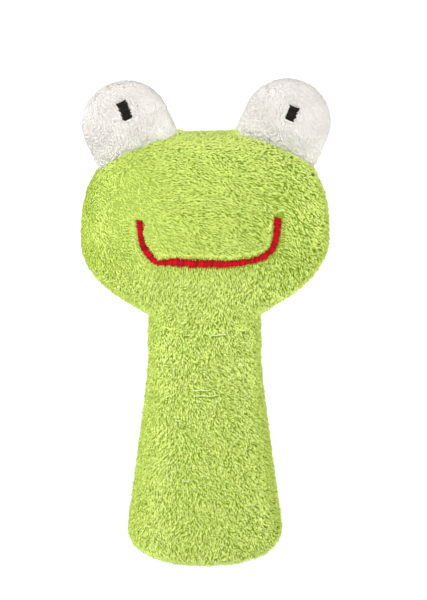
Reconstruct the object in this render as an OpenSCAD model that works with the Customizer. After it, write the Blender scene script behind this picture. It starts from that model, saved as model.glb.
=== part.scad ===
// Soft frog rattle: a stuffed terry head with two bulb eyes on a stuffed, tapered handle, and a
// sealed capsule of loose pellets in the head. Millimetres, +Z up, the face looks along -Y, and
// the origin is the centre of the base that it stands on. Left and right are the viewer's.

/* [Cloth] */
// Thickness of the terry cloth, its pile pressed flat
cloth_t = 1.6; // [1:0.1:2.4]
// Space between the cloth and the filling, where the side seams' thread lies
filling_gap = 0.6; // [0.5:0.05:0.9]
// Radius of the sewing thread
thread_r = 0.2; // [0.15:0.05:0.25]

/* [Handle] */
// Largest radius of the handle, just above the base
handle_r = 25.4; // [23:0.2:29]
// Radius of the rounded corner above the base
base_corner_r = 6.4; // [4:0.2:8]
// Height of the base seam above the surface that the toy stands on
base_lift = 0.3; // [0.2:0.1:0.6]
// Gap round the base cloth, where the thread of its seam lies
base_gap = 0.7; // [0.5:0.05:0.9]
// Radius of the neck
neck_r = 18.1; // [16:0.1:20]
// Height where the taper ends and the upright neck begins
neck_start_z = 64; // [54:0.5:68]
// Radius of the curve between the taper and the neck
neck_curve_r = 140; // [40:5:180]

/* [Neck] */
// Height of the seam between handle and head
neck_seam_z = 80; // [76:0.2:82]
// Depth of the bending point below the neck seam
neck_pivot_drop = 12; // [9:0.5:16]
// Clearance between the neck thread and the cloth above and below it
neck_thread_gap = 0.25; // [0.2:0.05:0.4]

/* [Head] */
// Width of the head between its side seams
head_w = 80.6; // [74:0.2:90]
// Depth of the head, front to back
head_d = 46.6; // [44:0.2:54]
// Height of the widest place of the head
head_z = 108; // [105:0.5:112]
// Height of the crown above the widest place
head_rise = 33.8; // [30:0.2:38]
// Height of the rounding below the widest place
head_drop = 28; // [26.5:0.1:34]
// Squareness of the crown seen from the front, where 2 is an ellipse
crown_fullness = 2.6; // [2:0.1:3.4]
// Squareness of the crown seen from the side, where 2 is an ellipse
crown_side_fullness = 2.2; // [2:0.1:2.8]
// Squareness of the head seen from above, where 2 is an ellipse
head_fullness = 2.2; // [2:0.1:2.8]
// Width over which the head fades into the neck
neck_blend = 4; // [3:0.5:6]

/* [Eyes] */
// Half of the distance between the eyes' centres
eye_x = 26.15; // [22:0.05:29]
// Shift of both eyes to the right of the head's middle
eye_shift = 0.75; // [0:0.05:1.5]
// Height of the eyes' centres above the widest place of the head
eye_rise = 37.2; // [34:0.2:40]
// Lean of each eye outwards
eye_lean = 24; // [10:1:32]
// Radius of each eye seen from the front
eye_r = 13.9; // [12:0.1:16]
// Half of each eye's depth
eye_half_d = 9.6; // [8.4:0.1:12]
// Half of each eye's width at its seam
eye_seam_half_w = 13.2; // [11:0.1:15]
// Half of each eye's depth at its seam
eye_seam_half_d = 4.2; // [3.2:0.1:6]
// Roundness of each eye's skirt seen from the side, where 1 is a straight taper
skirt_roundness = 1.8; // [1:0.1:2.4]
// Space between an eye's cloth and the head, where the thread of their seam lies
eye_gap = 0.6; // [0.5:0.05:0.8]

/* [Embroidery] */
// Distance between the two ends of the mouth
mouth_w = 45; // [36:0.5:52]
// Height of the mouth from its lowest stitches to its ends
mouth_h = 13.9; // [9:0.1:17]
// Depth of the lowest stitches below the widest place of the head
mouth_drop = 3.8; // [0:0.1:8]
// Width of the satin stitch of the mouth
mouth_stitch_w = 2.4; // [1.6:0.1:3.2]
// Height of satin stitch above the cloth
stitch_h = 0.8; // [0.5:0.05:1.2]
// Clearance between satin stitch and cloth
stitch_gap = 0.12; // [0.1:0.01:0.25]
// Width of each pupil
pupil_w = 3; // [2:0.1:4]
// Length of the left pupil, along the eye's lean
left_pupil_l = 6; // [4:0.1:7]
// Length of the right pupil
right_pupil_l = 4.8; // [4:0.1:7]
// Height of the left pupil's centre above the eye's centre, along the lean
left_pupil_rise = 6.05; // [2:0.05:8]
// Height of the right pupil's centre above the eye's centre
right_pupil_rise = 4.6; // [2:0.05:8]
// Distance of the left pupil's centre from the line of the eye's lean, towards the middle of the face
left_pupil_in = 1.8; // [0:0.1:3.2]
// Distance of the right pupil's centre from the line of the eye's lean
right_pupil_in = 1.05; // [0:0.05:3.2]

/* [Rattle] */
// Outer radius of the rattle capsule
capsule_r = 13; // [12:0.1:15]
// Outer height of the rattle capsule
capsule_h = 20; // [17:0.2:24]
// Wall of the rattle capsule
capsule_wall = 1.2; // [1:0.05:1.6]
// Radius of the capsule's outer edges
capsule_edge_r = 2.4; // [1.8:0.1:3]
// Height of the lid above the cup
lid_h = 7; // [5:0.1:9]
// Depth of the lid's lip in the cup
lip_h = 3; // [2:0.1:4]
// Wall of the lid's lip
lip_wall = 0.9; // [0.7:0.05:1.2]
// Radial clearance of the lip in the cup
lip_gap = 0.05; // [0.03:0.01:0.1]
// Height of the capsule's middle above the widest place of the head
capsule_rise = 2; // [0:0.5:5]
// Space between the capsule and the filling
capsule_gap = 0.2; // [0.1:0.05:0.4]
// Radius of each pellet
pellet_r = 2.3; // [1.8:0.1:2.8]
// Radius of the ring of pellets round the middle one
pellet_ring_r = 6.8; // [6.4:0.1:7.2]
// Space between a resting pellet and the cup's floor
pellet_gap = 0.2; // [0.1:0.05:0.3]

/* [Hidden] */
$fn = 64;
arc_steps = 8;
dome_steps = 12;
head_rows = 20;
head_cols = 24;
skirt_rows = 4;
bulb_rows = 8;
eye_cols = 12;
filling_cols = 18;
mouth_steps = 60;
pupil_steps = 5;
thread_sides = 6;
eye_thread_steps = 32;
seat_halvings = 24;
ring_pellets = 5;

filling_inset = cloth_t + filling_gap;

// Spheres about the bending point: the seam thread lies between the handle's dome and the head's socket
neck_pivot_z = neck_seam_z - neck_pivot_drop;
neck_ball_r = norm([neck_r, neck_pivot_drop]);
neck_half_gap = thread_r + neck_thread_gap;
dome_r = neck_ball_r - neck_half_gap;
socket_r = neck_ball_r + neck_half_gap;

// Handle's corner circle, and the tangent from it to the foot of the neck
corner_x = handle_r - base_corner_r;
corner_z = base_corner_r + base_lift;
to_neck = [neck_r - corner_x, neck_start_z - corner_z];
taper = atan2(to_neck.y, to_neck.x) - acos(base_corner_r / norm(to_neck));

// Mouth seen from the front, as shares of its half-width and height, with one sharp and one round corner
mouth_ratios = [[-0.985, 0.95], [-0.95, 0.45], [-0.845, 0.17], [-0.74, 0], [-0.6, 0.02], [-0.35, 0.02],
                [0, 0], [0.35, -0.02], [0.66, 0.045], [0.82, 0.14], [0.93, 0.33], [0.972, 0.62], [0.995, 1]];

capsule_z = head_z + capsule_rise - capsule_h / 2;
cup_h = capsule_h - lid_h;
bore_r = capsule_r - capsule_wall;
floor_z = capsule_z + capsule_wall;

cloth_green = [0.67, 0.78, 0.24];
cloth_white = [0.94, 0.91, 0.87];
thread_red = [0.78, 0.06, 0.11];
thread_black = [0.08, 0.07, 0.06];
thread_green = [0.6, 0.72, 0.2];
filling_white = [0.96, 0.96, 0.94];
shell_blue = [0.62, 0.76, 0.86];
pellet_amber = [0.92, 0.55, 0.2];

// Sides of the toy: the span of angles, seen from above, that the front and the back cover
FRONT = 180;
BACK = 0;
LEFT = -1;
RIGHT = 1;

// Rounded join of two sizes, which swells by up to a quarter of the blend where they are alike
function smooth_max(a, b, blend) = max(a, b) + pow(max(blend - abs(a - b), 0), 2) / (4 * blend);
function signed_pow(v, p) = sign(v) * pow(abs(v), p);
function unit(v) = v / norm(v);
function joined(lists) = [for (part = lists) each part];
function arc(centre, r, from, to, steps) =
    [for (i = [0:steps]) let (a = from + (to - from) * i / steps) centre + r * [cos(a), sin(a)]];

// Grids of points as solids. A grid is a list of rows from the bottom up, and its last row is one point.
function grid_index(rows, cols, i, j) = i < rows ? i * cols + j % cols : rows * cols;
function grid_faces(rows, cols, last_col, first, outward) =
    [for (i = [0:rows - 1], j = [0:last_col])
        let (a = first + grid_index(rows, cols, i, j), b = first + grid_index(rows, cols, i + 1, j),
             c = first + grid_index(rows, cols, i + 1, j + 1), d = first + grid_index(rows, cols, i, j + 1))
        each concat(b == c ? [] : [outward ? [a, b, c] : [a, c, b]], [outward ? [a, c, d] : [a, d, c]])];

// Cloth between an outer and an inner grid, open along its sides and its lower edge
module cloth_shell(outer, inner) {
    rows = len(outer) - 1;
    cols = len(outer[0]);
    side = cols - 1;
    first = rows * cols + 1;
    function at(i, j) = grid_index(rows, cols, i, j);
    lower_edge = [for (j = [0:side - 1])
        each [[at(0, j), at(0, j + 1), first + at(0, j + 1)],
              [at(0, j), first + at(0, j + 1), first + at(0, j)]]];
    left_edge = [for (i = [0:rows - 1])
        each [[at(i + 1, 0), at(i, 0), first + at(i, 0)],
              [at(i + 1, 0), first + at(i, 0), first + at(i + 1, 0)]]];
    right_edge = [for (i = [0:rows - 1])
        each [[at(i, side), at(i + 1, side), first + at(i + 1, side)],
              [at(i, side), first + at(i + 1, side), first + at(i, side)]]];
    polyhedron(concat(joined(outer), joined(inner)),
               concat(grid_faces(rows, cols, side - 1, 0, true),
                      grid_faces(rows, cols, side - 1, first, false),
                      lower_edge, left_edge, right_edge));
}

// Solid inside one grid of closed rows, whose lowest row is closed by a fan to a middle point
module grid_solid(grid, middle) {
    rows = len(grid) - 1;
    cols = len(grid[0]);
    last = rows * cols + 1;
    fan = [for (j = [0:cols - 1]) [last, j, (j + 1) % cols]];
    polyhedron(concat(joined(grid), [middle]), concat(grid_faces(rows, cols, cols - 1, 0, true), fan));
}

// Head: level sections that fade from the round neck to a wide oval and close at the crown
function socket_z(r) = neck_pivot_z + sqrt(pow(socket_r, 2) - r * r);
function head_span(half, fullness, z, inset) =
    let (neck = neck_r - inset, up = (z - head_z) / (head_rise - inset),
         down = (head_z - z) / (head_drop - inset))
    z > head_z ? smooth_max(half - inset, neck, neck_blend) * pow(max(0, 1 - pow(up, fullness)), 1 / fullness)
               : smooth_max((half - inset) * sqrt(max(0, 1 - down * down)), neck, neck_blend);
function head_half_w(z, inset) = head_span(head_w / 2, crown_fullness, z, inset);
function head_half_d(z, inset) = head_span(head_d / 2, crown_side_fullness, z, inset);
function level_fullness(z) =
    z > head_z ? head_fullness : 2 + (head_fullness - 2) * max(0, 1 - pow((head_z - z) / head_drop, 2));
function head_point(z, a, inset) =
    let (p = 2 / level_fullness(z))
    [head_half_w(z, inset) * signed_pow(cos(a), p), head_half_d(z, inset) * signed_pow(sin(a), p), z];

// Heights of the head's rows from the neck seam, or below it, to the crown, closer where it curves more
function head_heights(inset, below) =
    let (lowest = socket_z(neck_r - inset) - below)
    [for (i = [0:head_rows])
        let (t = 180 * i / head_rows - 90)
        head_z + (t > 0 ? (head_rise - inset) * pow(sin(t), 2 / crown_fullness)
                        : (head_z - lowest) * sin(t))];
function head_grid(side, inset, below, cols) =
    let (heights = head_heights(inset, below))
    concat([for (i = [0:head_rows - 1])
               [for (j = [0:cols]) head_point(heights[i], side + 180 * j / cols, inset)]],
           [[[0, 0, heights[head_rows]]]]);

// Front of the head at a place seen from the front, and the direction out of the cloth there
function head_front(x, z) =
    let (p = level_fullness(z))
    [x, -head_half_d(z, 0) * pow(1 - pow(abs(x) / head_half_w(z, 0), p), 1 / p), z];
function head_out(x, z, step = 0.2) =
    unit(cross(head_front(x + step, z) - head_front(x - step, z),
               head_front(x, z + step) - head_front(x, z - step)));
function in_head(p, grow) =
    let (q = level_fullness(p.z))
    p.z < head_z + head_rise + grow
    && pow(abs(p.x) / head_half_w(p.z, -grow), q) + pow(abs(p.y) / head_half_d(p.z, -grow), q) < 1;

// Eye: a bulb that leans outwards, on a skirt that narrows to an oval seam on the head
function eye_centre(side) = [side * eye_x + eye_shift, 0, head_z + eye_rise];
function eye_up(side) = [side * sin(eye_lean), 0, cos(eye_lean)];
function eye_across(side) = [cos(eye_lean), 0, -side * sin(eye_lean)];
function eye_place(side, x, y, s) = eye_centre(side) + x * eye_across(side) + [0, y, 0] + s * eye_up(side);

// Depth below the eye's centre at which a line along the lean meets the head, found by halving
function seat_between(side, x, y, gap, high, low, left) =
    let (mid = (high + low) / 2)
    left == 0 ? mid
    : in_head(eye_place(side, x, y, -mid), gap) ? seat_between(side, x, y, gap, high, mid, left - 1)
                                                : seat_between(side, x, y, gap, mid, low, left - 1);
function eye_seat(side, x, y, gap) = seat_between(side, x, y, gap, 0, 2 * eye_r, seat_halvings);
function seam_point(side, a, inset, gap) =
    let (x = (eye_seam_half_w - inset) * cos(a), y = (eye_seam_half_d - inset) * sin(a))
    eye_place(side, x, y, -eye_seat(side, x, y, gap));
function skirt_point(side, share, a, inset, gap) =
    let (drop = (seam_point(side, a, inset, gap) - eye_centre(side)) * eye_up(side),
         x = eye_r - inset - (eye_r - eye_seam_half_w) * share * share,
         y = eye_half_d - inset - (eye_half_d - eye_seam_half_d) * pow(share, skirt_roundness))
    eye_place(side, x * cos(a), y * sin(a), share * drop);
function bulb_point(side, lat, a, inset) =
    eye_place(side, (eye_r - inset) * cos(lat) * cos(a), (eye_half_d - inset) * cos(lat) * sin(a),
              (eye_r - inset) * sin(lat));
function eye_row(side, i, a, inset, gap) =
    i < skirt_rows ? skirt_point(side, 1 - i / skirt_rows, a, inset, gap)
                   : bulb_point(side, 90 * (i - skirt_rows) / bulb_rows, a, inset);
function eye_grid(side, from, span, cols, last, inset, gap) =
    concat([for (i = [0:skirt_rows + bulb_rows - 1])
               [for (j = [0:last]) eye_row(side, i, from + span * j / cols, inset, gap)]],
           [[bulb_point(side, 90, 0, inset)]]);
function eye_front(side, x, s, lift) =
    let (r = eye_r + lift)
    eye_place(side, x, -(eye_half_d + lift) * sqrt(1 - pow(x / r, 2) - pow(s / r, 2)), s);

// Smooth line through points, as a Catmull-Rom curve
function curve_knot(points, i) = points[max(0, min(len(points) - 1, i))];
function curve_at(points, u) =
    let (i = min(floor(u), len(points) - 2), t = u - i, a = curve_knot(points, i - 1), b = points[i],
         c = points[i + 1], d = curve_knot(points, i + 2))
    b + t / 2 * (c - a + t * (2 * a - 5 * b + 4 * c - d + t * (3 * (b - c) + d - a)));
function mouth_at(u) =
    let (p = curve_at(mouth_ratios, u * (len(mouth_ratios) - 1)))
    [p.x * mouth_w / 2, head_z - mouth_drop + p.y * mouth_h];

// Handle: the side view of the cloth, drawn in by inset, from the base seam to the foot of the neck
function handle_side(inset) =
    let (turn = neck_curve_r * tan(taper / 2), r = neck_curve_r + inset)
    concat(arc([corner_x, corner_z], base_corner_r - inset, -90, taper, arc_steps),
           arc([neck_r + neck_curve_r, neck_start_z + turn], r, 180 + taper, 180, arc_steps));
function dome_z(r) = neck_pivot_z + sqrt(dome_r * dome_r - r * r);

module handle_panel(side) {
    inner_r = neck_r - cloth_t;
    outline = concat(handle_side(0), [[neck_r, dome_z(neck_r)], [inner_r, dome_z(inner_r)]],
                     [for (p = [len(handle_side(0)) - 1:-1:0]) handle_side(cloth_t)[p]]);
    color(cloth_green) rotate(side) rotate_extrude(angle = 180) polygon(outline);
}

module base_panel() {
    color(cloth_green) cylinder(r = corner_x - base_gap, h = cloth_t);
}

module handle_filling() {
    filling_r = neck_r - filling_inset;
    rim = asin((dome_z(filling_r) - neck_pivot_z) / dome_r);
    floor_edge = handle_side(filling_inset)[0];
    outline = concat([[0, floor_edge.y]], handle_side(filling_inset),
                     arc([0, neck_pivot_z], dome_r, rim, 90, dome_steps));
    color(filling_white) rotate_extrude() polygon(outline);
}

// Thread as a thin tube along points, closed in a loop or with flat ends, with one side turned to face
module thread(points, face, closed) {
    n = len(points);
    last = n - 1;
    function before(i) = points[closed ? (i + last) % n : max(i - 1, 0)];
    function after(i) = points[closed ? (i + 1) % n : min(i + 1, last)];
    function ring(i) =
        let (along = unit(after(i) - before(i)), side = unit(cross(along, face)), top = cross(side, along))
        [for (k = [0:thread_sides - 1])
            let (a = 360 * k / thread_sides)
            points[i] + thread_r * (cos(a) * side + sin(a) * top)];
    sides = [for (i = [0:closed ? last : last - 1], k = [0:thread_sides - 1])
        let (a = i * thread_sides + k, b = i * thread_sides + (k + 1) % thread_sides,
             c = (i + 1) % n * thread_sides + (k + 1) % thread_sides, d = (i + 1) % n * thread_sides + k)
        each [[a, c, b], [a, d, c]]];
    far = last * thread_sides;
    ends = closed ? [] : [for (k = [1:thread_sides - 2]) each [[0, k, k + 1], [far, far + k + 1, far + k]]];
    polyhedron([for (i = [0:last]) each ring(i)], concat(sides, ends));
}

module handle_seam_threads() {
    side = handle_side(cloth_t + filling_gap / 2);
    foot = side[arc_steps];
    run = side[arc_steps + 1] - foot;
    color(thread_green) for (turn = [FRONT, BACK])
        rotate(turn) translate([foot.x, 0, foot.y]) rotate([0, -taper, 0])
            cylinder(r = thread_r, h = norm(run));
}

module base_seam_thread() {
    color(thread_green) translate([0, 0, base_lift + cloth_t / 2]) rotate_extrude()
        translate([corner_x - base_gap / 2, 0]) circle(r = thread_r);
}

module neck_seam_thread() {
    color(thread_green) translate([0, 0, neck_seam_z]) rotate_extrude() translate([neck_r, 0])
        circle(r = thread_r);
}

module head_seam_thread() {
    inset = cloth_t + filling_gap / 2;
    heights = head_heights(inset, 0);
    points = concat([for (i = [1:head_rows - 1]) head_point(heights[i], 180, inset)],
                    [[0, 0, heights[head_rows]]],
                    [for (i = [head_rows - 1:-1:1]) head_point(heights[i], 0, inset)]);
    color(thread_green) thread(points, [0, 1, 0], false);
}

module eye_seam_thread(side) {
    points = [for (i = [0:eye_thread_steps - 1])
        seam_point(side, 360 * i / eye_thread_steps, cloth_t / 2, eye_gap / 2)];
    color(cloth_white) thread(points, eye_up(side), true);
}

module head_panel(side) {
    color(cloth_green) cloth_shell(head_grid(side, 0, 0, head_cols), head_grid(side, cloth_t, 0, head_cols));
}

module head_filling(side) {
    below_rim = 1.5;
    grid = head_grid(side, filling_inset, below_rim, filling_cols);
    color(filling_white) difference() {
        grid_solid(grid, (grid[0][0] + grid[0][filling_cols / 2]) / 2);
        translate([0, 0, neck_pivot_z]) sphere(r = socket_r);
        translate([0, 0, capsule_z - capsule_gap])
            cylinder(r = capsule_r + capsule_gap, h = capsule_h + 2 * capsule_gap);
    }
}

// Raised satin stitch: a low rounded bar that follows the mouth's line over the cloth
module mouth_embroidery() {
    half = mouth_stitch_w / 2;
    shoulder = 0.45 * stitch_h;
    bar = [[-half, 0], [-half, shoulder], [-half / 2, stitch_h], [half / 2, stitch_h], [half, shoulder],
           [half, 0]];
    function at(i) = let (p = mouth_at(i / mouth_steps)) head_front(p.x, p.y);
    function ring(i) =
        let (p = at(i), out = head_out(p.x, p.z), along = at(min(i + 1, mouth_steps)) - at(max(i - 1, 0)),
             across = unit(cross(out, along)))
        [for (q = bar) p + q.x * across + (q.y + stitch_gap) * out];
    n = len(bar);
    sides = [for (i = [0:mouth_steps - 1], j = [0:n - 1])
        let (a = i * n + j, b = i * n + (j + 1) % n)
        each [[a, b + n, b], [a, a + n, b + n]]];
    last = mouth_steps * n;
    ends = [for (j = [1:n - 2]) each [[0, j, j + 1], [last, last + j + 1, last + j]]];
    color(thread_red) polyhedron([for (i = [0:mouth_steps]) each ring(i)], concat(sides, ends));
}

module eye_panel(side, face) {
    color(cloth_white) cloth_shell(eye_grid(side, face, 180, eye_cols, eye_cols, 0, eye_gap),
                                   eye_grid(side, face, 180, eye_cols, eye_cols, cloth_t, eye_gap));
}

module eye_filling(side) {
    grid = eye_grid(side, 0, 360, filling_cols, filling_cols - 1, filling_inset, eye_gap);
    color(filling_white) grid_solid(grid, eye_place(side, 0, 0, -eye_seat(side, 0, 0, eye_gap)));
}

// Pupil: a small raised rectangle of satin stitch that follows the bulb
module pupil(side, length, rise, shift) {
    n = pupil_steps + 1;
    function at(i, j, lift) =
        eye_front(side, pupil_w * (i / pupil_steps - 0.5) - side * shift,
                  rise + length * (j / pupil_steps - 0.5), lift);
    points = [for (lift = [stitch_gap, stitch_gap + stitch_h], i = [0:pupil_steps], j = [0:pupil_steps])
        at(i, j, lift)];
    function id(k, i, j) = k * n * n + i * n + j;
    faces = [for (i = [0:pupil_steps - 1], j = [0:pupil_steps - 1])
        each [[id(1, i, j), id(1, i, j + 1), id(1, i + 1, j + 1)],
              [id(1, i, j), id(1, i + 1, j + 1), id(1, i + 1, j)],
              [id(0, i, j), id(0, i + 1, j + 1), id(0, i, j + 1)],
              [id(0, i, j), id(0, i + 1, j), id(0, i + 1, j + 1)]]];
    far = pupil_steps;
    rims = [for (k = [0:pupil_steps - 1])
        each [[id(0, 0, k), id(0, 0, k + 1), id(1, 0, k + 1)], [id(0, 0, k), id(1, 0, k + 1), id(1, 0, k)],
              [id(0, far, k + 1), id(0, far, k), id(1, far, k)],
              [id(0, far, k + 1), id(1, far, k), id(1, far, k + 1)],
              [id(0, k + 1, 0), id(0, k, 0), id(1, k, 0)], [id(0, k + 1, 0), id(1, k, 0), id(1, k + 1, 0)],
              [id(0, k, far), id(0, k + 1, far), id(1, k + 1, far)],
              [id(0, k, far), id(1, k + 1, far), id(1, k, far)]]];
    color(thread_black) polyhedron(points, concat(faces, rims));
}

module rattle_cup() {
    edge = [capsule_r - capsule_edge_r, capsule_edge_r];
    inner_edge_r = capsule_edge_r - capsule_wall;
    outline = concat([[0, 0]], arc(edge, capsule_edge_r, -90, 0, arc_steps),
                     [[capsule_r, cup_h], [bore_r, cup_h]],
                     arc(edge, inner_edge_r, 0, -90, arc_steps), [[0, capsule_wall]]);
    color(shell_blue) translate([0, 0, capsule_z]) rotate_extrude() polygon(outline);
}

module rattle_lid() {
    lip_r = bore_r - lip_gap;
    edge = [capsule_r - capsule_edge_r, capsule_h - capsule_edge_r];
    outline = concat([[0, capsule_h - capsule_wall], [lip_r - lip_wall, capsule_h - capsule_wall],
                      [lip_r - lip_wall, cup_h - lip_h], [lip_r, cup_h - lip_h], [lip_r, cup_h],
                      [capsule_r, cup_h]],
                     arc(edge, capsule_edge_r, 0, 90, arc_steps), [[0, capsule_h]]);
    color(shell_blue) translate([0, 0, capsule_z]) rotate_extrude() polygon(outline);
}

// Pellets lie on the cup's floor, one in the middle and the rest round it
module pellet(number) {
    turn = 360 * (number - 2) / ring_pellets;
    reach = number == 1 ? 0 : pellet_ring_r;
    color(pellet_amber) translate([reach * cos(turn), reach * sin(turn), floor_z + pellet_gap + pellet_r])
        sphere(r = pellet_r);
}

handle_panel(FRONT);  // handle_front_panel
handle_panel(BACK);  // handle_back_panel
handle_seam_threads();
base_panel();
base_seam_thread();
handle_filling();
neck_seam_thread();
head_panel(FRONT);  // head_front_panel
head_panel(BACK);  // head_back_panel
head_seam_thread();
head_filling(FRONT);  // head_front_filling
head_filling(BACK);  // head_back_filling
mouth_embroidery();
eye_panel(LEFT, FRONT);  // left_eye_front_panel
eye_panel(LEFT, BACK);  // left_eye_back_panel
eye_seam_thread(LEFT);  // left_eye_seam_thread
eye_filling(LEFT);  // left_eye_filling
pupil(LEFT, left_pupil_l, left_pupil_rise, left_pupil_in);  // left_pupil
eye_panel(RIGHT, FRONT);  // right_eye_front_panel
eye_panel(RIGHT, BACK);  // right_eye_back_panel
eye_seam_thread(RIGHT);  // right_eye_seam_thread
eye_filling(RIGHT);  // right_eye_filling
pupil(RIGHT, right_pupil_l, right_pupil_rise, right_pupil_in);  // right_pupil
rattle_cup();
rattle_lid();
for (number = [1:ring_pellets + 1])
    pellet(number);
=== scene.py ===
"""Looks of the soft frog rattle, in the frame of its solids.

Each terry cover is a sewn form that the filling's pressure swells between its seams, with a pile of
yarn tufts planted on it. The mouth and the pupils are single satin stitches. Lengths are millimetres
until a mesh is made, +Z is up, the face looks along -Y, and left and right are the viewer's.
"""

import math

import bpy
import numpy as np
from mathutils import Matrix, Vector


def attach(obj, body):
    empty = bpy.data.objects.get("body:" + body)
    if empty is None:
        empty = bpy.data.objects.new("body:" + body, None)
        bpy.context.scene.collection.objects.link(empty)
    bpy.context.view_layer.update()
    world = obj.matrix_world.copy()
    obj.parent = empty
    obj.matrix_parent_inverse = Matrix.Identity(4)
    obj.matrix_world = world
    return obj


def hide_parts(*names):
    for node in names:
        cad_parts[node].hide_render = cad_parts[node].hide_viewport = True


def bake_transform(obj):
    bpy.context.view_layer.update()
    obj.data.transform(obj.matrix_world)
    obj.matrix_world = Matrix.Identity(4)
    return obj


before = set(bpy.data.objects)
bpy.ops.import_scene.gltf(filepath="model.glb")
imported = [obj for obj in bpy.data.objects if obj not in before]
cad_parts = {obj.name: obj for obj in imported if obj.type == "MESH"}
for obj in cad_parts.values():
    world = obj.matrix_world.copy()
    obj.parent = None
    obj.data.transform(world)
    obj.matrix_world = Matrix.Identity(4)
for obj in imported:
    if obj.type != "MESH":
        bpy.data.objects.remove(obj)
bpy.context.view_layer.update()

MM = 0.001
LEFT = -1
RIGHT = 1
FRONT = "front"
BACK = "back"
# Stands for any distance that is too far to matter
FAR = 99.0

# Sizes of the solids. Three follow the photograph more closely than the solids do: the head drops
# 1 mm less, its corner at the neck is rounder, and the eyes are 0.8 mm flatter
handle_r = 25.4
base_corner_r = 6.4
base_lift = 0.3
neck_r = 18.1
neck_start_z = 64.0
neck_curve_r = 140.0
neck_seam_z = 80.0
head_w = 80.6
head_d = 46.6
head_z = 108.0
head_rise = 33.8
head_drop = 27.0
crown_fullness = 2.6
crown_side_fullness = 2.2
head_fullness = 2.2
neck_blend = 11.0
eye_x = {LEFT: 25.4, RIGHT: 26.9}
eye_rise = 37.2
eye_lean = math.radians(24)
eye_r = 13.9
eye_half_d = 8.8
eye_seam_half_w = 13.2
eye_seam_half_d = 4.2
mouth_w = 45.0
mouth_h = 13.9
mouth_drop = 3.8
mouth_stitch_w = 2.4
pupil_w = 3.0
pupil_in = {LEFT: 1.8, RIGHT: 1.05}
pupil_length = {LEFT: 6.0, RIGHT: 4.8}
pupil_rise = {LEFT: 6.05, RIGHT: 4.6}

# Mouth: two runs of satin stitch that meet in the left corner, as shares of its width and height,
# and the stitches' lengths at even steps along each run
MOUTH_RUNS = [
    ([(-0.985, 0.98), (-0.95, 0.45), (-0.845, 0.17), (-0.75, 0.0)], [2.2, 1.7, 1.9, 2.2, 1.5]),
    ([(-0.735, -0.01), (-0.6, 0.03), (-0.35, 0.02), (0, -0.01), (0.35, -0.02), (0.66, 0.045), (0.82, 0.14),
      (0.93, 0.33), (0.972, 0.62), (0.995, 0.98)], [1.5, 2.6, 2.5, 2.5, 2.1, 1.8, 2.2, 2.1, 2.4]),
]

# Depth of the sewn seams below the solids' surface, and of the swollen cloth between them
seam_depth = 0.8
cloth_depth = 0.3
eye_seam_depth = 0.4
eye_cloth_depth = -0.1

# Eyes' skirts: how deep they reach into the head, and the powers by which they narrow, across and in depth
skirt_sunk = 0.9
skirt_w_power = 2
skirt_d_power = 1.8


# Small helpers

def unit(v):
    return v / np.maximum(np.linalg.norm(v, axis=-1, keepdims=True), 1e-9)


def signed_pow(v, p):
    return np.sign(v) * np.abs(v) ** p


def smooth_max(a, b, blend):
    return np.maximum(a, b) + np.maximum(blend - np.abs(a - b), 0) ** 2 / (4 * blend)


def smooth_step(low, high, v):
    t = np.clip((v - low) / (high - low), 0, 1)
    return t * t * (3 - 2 * t)


def along_cloth(v, out):
    """What is left of directions along the cloth."""
    return v - out * (v * out).sum(1)[:, None]


def run_lengths(points):
    """Length along a line of points, up to each of them."""
    return np.concatenate([[0], np.cumsum(np.linalg.norm(np.diff(points, axis=0), axis=1))])


def evenly(line, run, count):
    """Points at even lengths along a line of points."""
    even = np.linspace(0, run[-1], count)
    return np.stack([np.interp(even, run, column) for column in line.T], 1)


def wave_ways(length, seed, count=12):
    """Directions, each with its frequency, and phases of a bundle of waves about length apart."""
    rng = np.random.default_rng(seed)
    ways = unit(rng.normal(size=(count, 3))) * rng.uniform(0.7, 1.4, (count, 1)) * 2 * math.pi / length
    return ways, rng.uniform(0, 2 * math.pi, count)


def waves(points, length, seed):
    """A smooth wandering value with a spread of 1 and swells about length apart."""
    ways, phases = wave_ways(length, seed)
    return np.sin(points @ ways.T + phases).sum(1) / math.sqrt(len(phases) / 2)


def uphill(points, length, seed):
    """Directions towards the swells of the waves, with a spread of about 1."""
    ways, phases = wave_ways(length, seed)
    return np.cos(points @ ways.T + phases) @ ways * length / (2 * math.pi * math.sqrt(len(phases) / 6))


def add_object(name, data):
    made = bpy.data.objects.new(name, data)
    bpy.context.scene.collection.objects.link(made)
    return made


def vertex_rows(mesh, key):
    values = np.empty(len(mesh.vertices) * 3, np.float32)
    mesh.vertices.foreach_get(key, values)
    return values.reshape(-1, 3)


def paint(mesh, finish):
    mesh.materials.clear()
    mesh.materials.append(finish)


def bend(piece):
    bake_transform(piece)


# Forms of the covers, as grids of points: rows from the bottom up, columns round from +X

SEAT_HALVINGS = 30
ARC_STEPS = 40
# How far below its centre an eye can meet the head
EYE_REACH = 20
# Cloth pulled up by an eye: where across the eye its inner side begins, the pull on the outer side, what
# the inner side adds, and how far the pull reaches outside and inside the seam
GATHER_ACROSS = (-10, 12)
GATHER_OUTER = 0.5
GATHER_INNER = 1.2
GATHER_OUTSIDE = 2.4
GATHER_INSIDE = 1.2


def round_angles(cols):
    return 2 * math.pi * np.arange(cols) / cols


def head_span(half, fullness, z, inset):
    up = np.clip((z - head_z) / (head_rise - inset), 0, 1)
    down = np.clip((head_z - z) / (head_drop - inset), 0, 1)
    neck = neck_r - inset
    crown = smooth_max(half - inset, neck, neck_blend) * (1 - up ** fullness) ** (1 / fullness)
    cheek = smooth_max((half - inset) * np.sqrt(1 - down ** 2), neck, neck_blend)
    return np.where(z > head_z, crown, cheek)


def head_half_w(z, inset=0.0):
    return head_span(head_w / 2, crown_fullness, z, inset)


def head_half_d(z, inset=0.0):
    return head_span(head_d / 2, crown_side_fullness, z, inset)


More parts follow.
